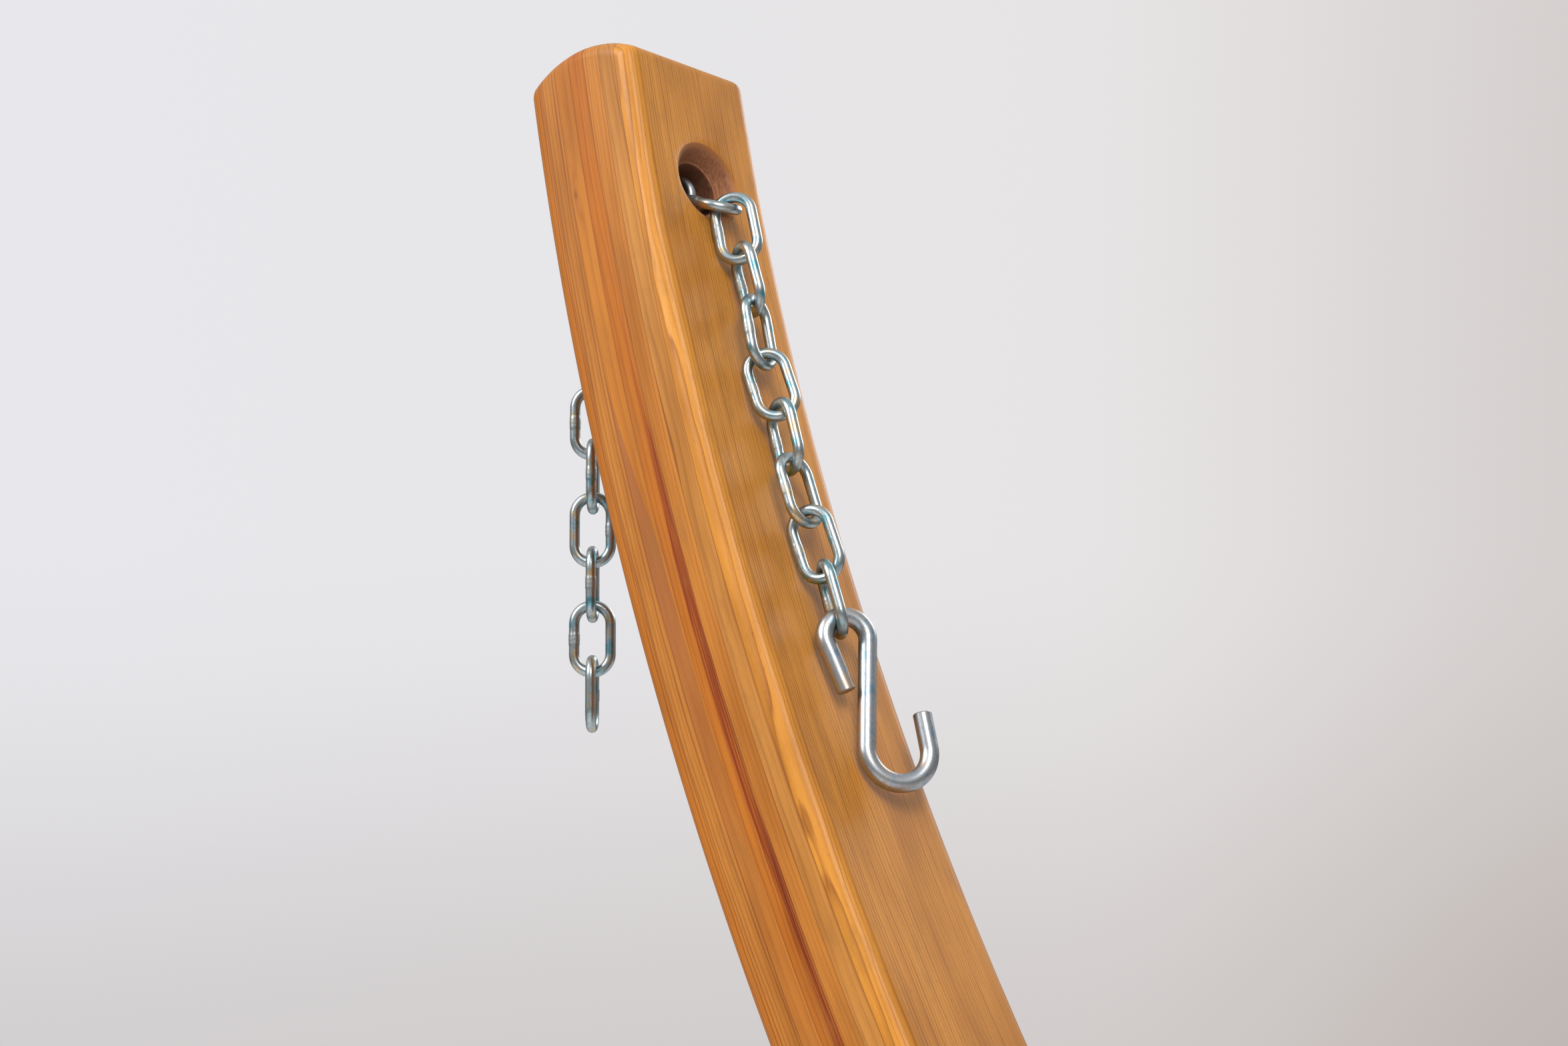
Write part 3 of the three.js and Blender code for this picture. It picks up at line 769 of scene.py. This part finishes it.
def larch(name, rows, thickness, start):
    """Oiled larch laid up from lamellae; grain is (along, across, through) and board a seed."""
    g = Graph(name)
    along, across, through = [g.math("MULTIPLY", v, 1000.0) for v in g.split(g.value("grain", "Vector"))]
    board = g.value("board")
    count = len(rows)
    layer = g.math("DIVIDE", g.math("SUBTRACT", through, start), thickness)
    layer = g.math("MINIMUM", g.math("MAXIMUM", layer, 0.001), count - 0.001)
    index = g.math("FLOOR", layer)
    mixed = g.math("MODULO", g.math("ADD", index, g.math("MULTIPLY", board, 3.0)), float(count))
    share = g.math("DIVIDE", g.math("ADD", mixed, 0.5), float(count))
    wood, late, width, slant, wander = lamella_tables(g, share, rows)
    seed = g.math("ADD", g.math("MULTIPLY", index, 3.7), g.math("MULTIPLY", board, 31.0))

    # growth rings: slanted planes that wander slowly along the lamella
    slow = g.noise(g.vector(g.math("MULTIPLY", along, 0.0035), g.math("MULTIPLY", across, 0.02),
                            g.math("ADD", g.math("MULTIPLY", through, 0.035), seed)), 1.0, 2.0, 0.45)
    quick = g.noise(g.vector(g.math("MULTIPLY", along, 0.03), g.math("MULTIPLY", across, 0.12),
                             g.math("ADD", g.math("MULTIPLY", through, 0.12), seed)), 1.0, 1.0, 0.5)
    bend = g.math("MULTIPLY", g.math("SUBTRACT", slow, 0.5), g.math("MULTIPLY", wander, 3.4))
    bend = g.math("ADD", bend, g.math("MULTIPLY", g.math("SUBTRACT", quick, 0.5), 1.1))
    flat = g.math("MULTIPLY", through, g.math("SUBTRACT", 1.0, slant))
    plane = g.math("ADD", g.math("ADD", flat, g.math("MULTIPLY", across, slant)), bend)
    uneven = g.noise(g.vector(g.math("MULTIPLY", plane, 0.42), seed, 0.7), 1.0, 2.0, 0.6)
    plane = g.math("ADD", plane, g.math("MULTIPLY", g.math("SUBTRACT", uneven, 0.5), 2.8))
    knot = knot_field(g, along, across, through) if rows is LAMELLAE else 0.0
    rings = g.math("ADD", g.math("DIVIDE", plane, width),
                   g.math("ADD", g.math("MULTIPLY", knot, 0.9), seed))
    phase = g.math("FRACT", rings)
    profile = g.ramp(phase, [(0.0, grey(0.25)), (0.07, grey(0.0)), (0.45, grey(0.08)),
                             (0.8, grey(0.7)), (0.93, grey(1.0)), (1.0, grey(0.3))])
    depth = g.span(g.white(g.vector(g.math("FLOOR", rings), seed, 0.5)), 0.0, 1.0, 0.35, 1.0)
    lines = g.math("MULTIPLY", profile, depth)

    # fibres and short dark pores
    fibre = g.noise(g.vector(g.math("MULTIPLY", along, 0.05), g.math("MULTIPLY", across, 2.2),
                             g.math("ADD", g.math("MULTIPLY", through, 2.2), seed)), 1.0, 3.0, 0.65)
    pores = g.noise(g.vector(g.math("MULTIPLY", along, 0.22), g.math("MULTIPLY", across, 3.4),
                             g.math("ADD", g.math("MULTIPLY", through, 3.4), seed)), 1.0, 1.0, 0.5)
    pore = g.span(pores, 0.66, 0.78, 0.0, 1.0, True)
    cloud = g.noise(g.vector(g.math("MULTIPLY", along, 0.012), g.math("MULTIPLY", across, 0.045),
                             g.math("ADD", g.math("MULTIPLY", through, 0.06), seed)), 1.0, 2.0, 0.5)

    fade = g.noise(g.vector(g.math("MULTIPLY", along, 0.02), g.math("MULTIPLY", across, 0.3),
                            g.math("ADD", g.math("MULTIPLY", through, 0.3), seed)), 1.0, 2.0, 0.6)
    lines = g.math("MULTIPLY", lines, g.span(fade, 0.3, 0.62, 0.55, 1.0))
    colour = g.mix(lines, wood, late)
    if rows is LAMELLAE:
        colour = arm_figure(g, colour, along, across, through, board, knot)
    darker = g.mix(1.0, colour, rgb(204, 182, 150), "MULTIPLY")
    colour = g.mix(g.span(fibre, 0.3, 0.75, 0.0, 0.4), colour, darker)
    colour = g.mix(g.math("MULTIPLY", pore, 0.28), colour, rgb(104, 62, 34))
    tone = g.ramp(cloud, [(0.28, rgb(222, 212, 196)), (0.5, rgb(246, 242, 236)), (0.7, rgb(255, 255, 255))])
    colour = g.mix(1.0, colour, tone, "MULTIPLY")
    colour = weathered(g, colour, along, across, through, seed)
    colour = g.mix(g.math("MULTIPLY", glue_lines(g, layer, count), 0.55), colour, rgb(112, 56, 30))

    relief = g.math("ADD", g.math("MULTIPLY", lines, 0.5), g.math("MULTIPLY", fibre, 0.6))
    relief = g.math("SUBTRACT", relief, g.math("MULTIPLY", pore, 0.5))
    grain = g.math("ADD", g.math("MULTIPLY", fibre, 0.6), g.math("MULTIPLY", lines, 0.3))
    rough = g.span(grain, 0.2, 0.8, 0.36, 0.5)
    return g.surface(Base_Color=colour, Roughness=rough, Normal=g.bump(relief, 0.22, 0.0002),
                     Specular_IOR_Level=0.28)


def weathered(g, colour, along, across, through, seed):
    """Grey-brown handling patches, and short dark flecks that lie with the grain."""
    patch = g.noise(g.vector(g.math("MULTIPLY", along, 0.03), g.math("MULTIPLY", across, 0.08),
                             g.math("ADD", g.math("MULTIPLY", through, 0.08), seed)), 1.0, 4.0, 0.68)
    colour = g.mix(g.span(patch, 0.5, 0.74, 0.0, 0.42, True), colour, rgb(146, 98, 48))
    fleck = g.noise(g.vector(g.math("MULTIPLY", along, 0.35), g.math("MULTIPLY", across, 2.0),
                             g.math("ADD", g.math("MULTIPLY", through, 2.0), seed)), 1.0, 2.0, 0.6)
    return g.mix(g.span(fleck, 0.67, 0.74, 0.0, 0.5, True), colour, rgb(98, 54, 26))


def glue_lines(g, layer, count):
    """Thin dark lines where two lamellae meet, and none on the outer faces."""
    phase = g.math("FRACT", layer)
    near = g.math("MINIMUM", phase, g.math("SUBTRACT", 1.0, phase))
    line = g.span(near, 0.012, 0.034, 1.0, 0.0, True)
    inside = g.math("MULTIPLY", g.math("GREATER_THAN", layer, 0.5), g.math("LESS_THAN", layer, count - 0.5))
    return g.math("MULTIPLY", line, inside)


def bell(g, value, middle, half_width):
    """1 at the middle, falling away on both sides."""
    off = g.math("DIVIDE", g.math("SUBTRACT", value, middle), half_width)
    return g.math("EXPONENT", g.math("MULTIPLY", g.math("MULTIPLY", off, off), -1.0))


def knot_field(g, along, across, through):
    """A small pin knot beside the bore, on the front side of the arm."""
    front = g.math("LESS_THAN", across, 0.0)
    near = g.math("MULTIPLY", bell(g, along, -4.0, 13.0), bell(g, through, -11.5, 2.8))
    return g.math("MULTIPLY", near, front)


def arm_figure(g, colour, along, across, through, board, knot):
    """The streak of dark heartwood, the flame of flat-sawn wood and the knot of the arm's side."""
    first = g.math("LESS_THAN", board, 0.5)
    side = g.math("MULTIPLY", g.math("LESS_THAN", across, 0.0), first)

    wave = g.math("SUBTRACT", g.noise(g.vector(g.math("MULTIPLY", along, 0.011), 0.3, board), 1.0, 1.0), 0.5)
    fray = g.math("SUBTRACT", g.noise(g.vector(g.math("MULTIPLY", along, 0.05), 1.3,
                                               g.math("MULTIPLY", through, 1.6)), 1.0, 2.0), 0.5)
    middle = g.math("ADD", 3.2, g.math("MULTIPLY", wave, 4.0))
    reach = g.math("ADD", g.span(along, 60.0, 190.0, 0.3, 2.9, True), g.math("MULTIPLY", fray, 1.7))
    off = g.math("ABSOLUTE", g.math("SUBTRACT", through, middle))
    streak = g.span(g.math("SUBTRACT", off, reach), -0.7, 0.35, 1.0, 0.0, True)
    thin = g.noise(g.vector(g.math("MULTIPLY", along, 0.02), 2.3, g.math("MULTIPLY", through, 2.4)), 1.0, 2.0)
    streak = g.math("MULTIPLY", streak, g.span(along, 30.0, 110.0, 0.25, 1.0))
    streak = g.math("MULTIPLY", streak, g.span(thin, 0.35, 0.6, 0.35, 1.0, True))
    colour = g.mix(streak, colour, g.mix(1.0, colour, rgb(188, 138, 170), "MULTIPLY"))

    tip = g.span(along, 85.0, 168.0, -14.8, -6.0)
    tip = g.math("ADD", tip, g.math("MULTIPLY", fray, 1.2))
    past_tip = g.math("MULTIPLY", g.span(g.math("SUBTRACT", tip, through), -0.15, 0.15, 0.0, 1.0),
                      g.math("GREATER_THAN", through, -14.6))
    brown = g.math("MULTIPLY", past_tip, g.math("LESS_THAN", through, -4.9))
    brown = g.math("MULTIPLY", g.math("MULTIPLY", brown, side), g.span(along, 190.0, 330.0, 0.7, 0.15))
    colour = g.mix(brown, colour, rgb(160, 100, 62))

    heart = g.math("MULTIPLY", bell(g, along, -4.0, 2.4), bell(g, through, -11.5, 0.9))
    heart = g.math("MULTIPLY", heart, side)
    colour = g.mix(g.math("MULTIPLY", knot, g.math("MULTIPLY", side, 0.35)), colour, rgb(150, 92, 50))
    return g.mix(g.math("MULTIPLY", heart, 0.6), colour, rgb(116, 58, 34))


def bored_larch():
    """The bare wood inside the bore, with pale torn fibres on the flared rim; deeper in it is stained and
    darker with painted shade, and its upper half has painted shade.
    """
    g = Graph("bored_larch")
    along, across, through = [g.math("MULTIPLY", v, 1000.0) for v in g.split(g.value("grain", "Vector"))]
    rings = g.noise(g.vector(g.math("MULTIPLY", along, 0.08), g.math("MULTIPLY", across, 1.1),
                             g.math("MULTIPLY", through, 0.9)), 1.0, 3.0, 0.6)
    # deeper in the bore the wood turns darker: partly stain, partly painted shade of the recess
    depth = g.math("ABSOLUTE", through)
    inner = g.span(depth, 23.0, 26.0, 1.0, 0.0, True)
    rim = g.ramp(rings, [(0.3, rgb(138, 86, 54)), (0.5, rgb(172, 110, 70)), (0.7, rgb(196, 138, 98))])
    deep_stain_and_shade = g.ramp(rings, [(0.3, rgb(96, 60, 40)), (0.6, rgb(132, 88, 62)), (0.8, rgb(150, 104, 76))])
    colour = g.mix(inner, rim, deep_stain_and_shade)
    edge = g.span(depth, 31.0, 33.0, 0.0, 0.75, True)
    colour = g.mix(edge, colour, rgb(196, 124, 58))
    # painted shade: the bore's upper half, whose wall faces down, is mixed towards dark brown
    upper_shade = g.span(along, 2.0, -16.0, 0.0, 0.5, True)
    colour = g.mix(upper_shade, colour, rgb(112, 66, 38))
    return g.surface(Base_Color=colour, Roughness=g.span(rings, 0.3, 0.7, 0.55, 0.75),
                     Normal=g.bump(rings, 0.5, 0.0004))


def zinc_plate(name, base, warm, cool, rough_low, rough_high):
    """Bright zinc over drawn wire: faint tints, fine sparkling grain and marks along the wire."""
    g = Graph(name)
    wire = g.value("wire", "Vector")
    tint = g.noise(wire, 150.0, 3.0, 0.6)
    cells = g.noise(wire, 900.0, 3.0, 0.6)
    spark = g.noise(wire, 3200.0, 2.0, 0.7)
    marks = g.noise(g.scaled(wire, (120.0, 2400.0, 2400.0)), 1.0, 2.0, 0.6)
    weld = g.value("weld")
    colour = g.ramp(tint, [(0.34, cool), (0.46, base), (0.56, base), (0.66, warm)])
    colour = g.mix(g.span(cells, 0.36, 0.66, 0.0, 0.4), colour, g.mix(1.0, colour, grey(0.5), "MULTIPLY"))
    colour = g.mix(g.span(spark, 0.5, 0.66, 0.0, 0.3), colour, g.mix(1.0, colour, grey(0.5), "MULTIPLY"))
    colour = g.mix(g.math("MULTIPLY", weld, 0.45), colour, rgb(160, 156, 150))
    rough = g.span(cells, 0.3, 0.7, rough_low, rough_high)
    rough = g.math("ADD", rough, g.math("MULTIPLY", weld, 0.12))
    relief = g.math("ADD", g.math("MULTIPLY", cells, 0.6), g.math("MULTIPLY", marks, 0.4))
    relief = g.math("ADD", relief, g.math("MULTIPLY", spark, 0.35))
    relief = g.math("ADD", relief, g.math("MULTIPLY", g.math("MULTIPLY", weld, cells), 1.6))
    return g.surface(Base_Color=colour, Metallic=1.0, Roughness=rough, Normal=g.bump(relief, 0.22, 0.0002))


def solid_zinc(name, tone):
    """Zinc on plates and fasteners, patterned in the object's own space."""
    g = Graph(name)
    place = g.add("ShaderNodeTexCoord", {}).outputs["Object"]
    spangle = g.add("ShaderNodeTexVoronoi", {"Vector": place, "Scale": 160.0}).outputs["Color"]
    cells = g.noise(place, 700.0, 3.0, 0.6)
    lift = g.span(g.split(spangle)[0], 0.0, 1.0, 0.78, 1.0)
    colour = g.mix(1.0, tone, g.vector(lift, lift, lift), "MULTIPLY")
    rough = g.span(cells, 0.3, 0.7, 0.3, 0.46)
    return g.surface(Base_Color=colour, Metallic=1.0, Roughness=rough, Normal=g.bump(cells, 0.2, 0.0002))


# ---- stage ----
WALL_LEFT = rgb(232, 232, 236)
WALL_RIGHT = rgb(230, 227, 227)
WALL_SHADE = rgb(182, 173, 169)
ROOM = ((0.0, grey(0.12)), (0.42, grey(0.16)), (0.56, grey(0.3)), (0.75, grey(0.42)), (1.0, grey(0.7)))


def add_camera():
    yaw, pitch, roll = (math.radians(v) for v in (CAMERA_YAW, CAMERA_PITCH, CAMERA_ROLL))
    ahead = Vector((-math.sin(yaw) * math.cos(pitch), math.cos(yaw) * math.cos(pitch), math.sin(pitch)))
    right = Vector((math.cos(yaw), math.sin(yaw), 0.0))
    up = right.cross(ahead)
    level_right = right * math.cos(roll) + up * math.sin(roll)
    level_up = up * math.cos(roll) - right * math.sin(roll)
    data = bpy.data.cameras.new("camera")
    data.lens = LENS
    data.sensor_width = SENSOR
    data.clip_start = 0.02
    data.clip_end = 100.0
    camera = bpy.data.objects.new("camera", data)
    rows = Matrix((level_right, level_up, -ahead)).transposed().to_4x4()
    camera.matrix_world = Matrix.Translation(CAMERA_AT) @ rows
    bpy.context.collection.objects.link(camera)
    bpy.context.scene.camera = camera
    return level_right, level_up


def add_world(right, up):
    """A pale studio wall that the camera sees, round a dimmer room that lights the object."""
    world = bpy.data.worlds.new("studio")
    bpy.context.scene.world = world
    world.use_nodes = True
    g = Graph("studio", world.node_tree)
    ray = g.add("ShaderNodeTexCoord", {}).outputs["Generated"]

    def lean(direction):
        return g.add("ShaderNodeVectorMath", {0: ray, 1: direction}, operation="DOT_PRODUCT").outputs["Value"]

    aside, above = lean(right), lean(up)
    shade = g.math("ADD", g.span(aside, 0.12, 0.4, 0.0, 0.45, True),
                   g.span(above, 0.0, -0.27, 0.0, 0.5, True))
    wall = g.mix(g.span(aside, -0.3, 0.2), WALL_LEFT, WALL_RIGHT)
    wall = g.mix(shade, wall, WALL_SHADE)
    room = g.ramp(g.span(lean((0.0, 0.0, 1.0)), -1.0, 1.0), ROOM)
    seen = g.add("ShaderNodeLightPath", {}).outputs["Is Camera Ray"]
    background = g.tree.nodes["Background"]
    g.feed(background.inputs["Color"], g.mix(seen, room, wall))


def add_light(name, at, target, size, power, colour=(1.0, 1.0, 1.0)):
    data = bpy.data.lights.new(name, "AREA")
    data.shape = "RECTANGLE"
    data.size, data.size_y = size
    data.energy = power
    data.color = colour
    light = bpy.data.objects.new(name, data)
    light.location = at
    light.rotation_euler = (Vector(target) - Vector(at)).to_track_quat("-Z", "Y").to_euler()
    bpy.context.collection.objects.link(light)


def add_lights():
    target = (-0.9, 0.0, 0.7)
    add_light("key", (-2.8, -3.2, 3.6), target, (1.6, 2.2), 150.0)
    add_light("side", (0.2, -1.3, 2.5), (-1.4, 0.0, 1.15), (1.0, 1.2), 36.0, (1.0, 0.98, 0.95))
    add_light("back", (-1.5, 4.0, 3.0), target, (3.0, 1.6), 60.0, (0.95, 0.98, 1.0))


def add_floor():
    """A pale round floor, just under the feet, that fades out well away from the object."""
    radius, rings, sides = 6.0, 24, 96
    level = -0.0005
    points = [(0.0, 0.0, level)]
    faces = []
    for r in range(1, rings + 1):
        for i in range(sides):
            a = 2 * math.pi * i / sides
            reach = radius * r / rings
            points.append((reach * math.cos(a), reach * math.sin(a), level))
    for i in range(sides):
        faces.append((0, 1 + i, 1 + (i + 1) % sides))
    for r in range(rings - 1):
        for i in range(sides):
            a, b = 1 + r * sides + i, 1 + r * sides + (i + 1) % sides
            faces.append((a, a + sides, b + sides, b))
    mesh = bpy.data.meshes.new("floor")
    mesh.from_pydata(points, [], faces)
    g = Graph("pale_floor")
    place = g.add("ShaderNodeTexCoord", {}).outputs["Object"]
    far = g.add("ShaderNodeVectorMath", {0: place}, operation="LENGTH").outputs["Value"]
    speck = g.noise(place, 60.0, 3.0, 0.6)
    colour = g.ramp(speck, [(0.3, rgb(214, 212, 210)), (0.7, rgb(222, 220, 219))])
    g.surface(Base_Color=colour, Roughness=0.7, Alpha=g.span(far, 2.6, 5.9, 1.0, 0.0, True))
    mesh.materials.append(g.material)
    floor = bpy.data.objects.new("floor", mesh)
    bpy.context.collection.objects.link(floor)


# ---- scene ----
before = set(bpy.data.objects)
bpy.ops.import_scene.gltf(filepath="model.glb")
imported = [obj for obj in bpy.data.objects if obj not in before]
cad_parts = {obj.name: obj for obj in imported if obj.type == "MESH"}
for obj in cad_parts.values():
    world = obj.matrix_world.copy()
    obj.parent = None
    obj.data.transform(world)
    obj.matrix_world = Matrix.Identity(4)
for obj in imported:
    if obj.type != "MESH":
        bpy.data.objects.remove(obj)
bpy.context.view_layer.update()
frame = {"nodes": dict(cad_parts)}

view_right, view_up = add_camera()
add_world(view_right, view_up)
add_lights()
add_floor()
bpy.context.scene.view_settings.view_transform = "Standard"

arm_wood = larch("larch_laminated", LAMELLAE, LAMELLA, -ARM_DEPTH / 2)
foot_wood = larch("larch_boards", BOARDS, FOOT_TOP / len(BOARDS), 0.0)
chain_zinc = zinc_plate("zinc_chain", rgb(180, 191, 195), rgb(206, 188, 154), rgb(122, 178, 192),
                        0.26, 0.4)
hook_zinc = zinc_plate("zinc_hook", rgb(184, 189, 194), rgb(204, 184, 166), rgb(148, 172, 190),
                       0.28, 0.44)
plate_zinc = solid_zinc("zinc_plate", rgb(206, 210, 212))
fastener_zinc = solid_zinc("zinc_fastener", rgb(214, 216, 218))

add_arms(arm_wood, bored_larch())
add_feet(foot_wood)
add_fasteners(fastener_zinc)
dress_plates(frame, plate_zinc)
add_chains(frame, chain_zinc)
add_hooks(frame, hook_zinc)
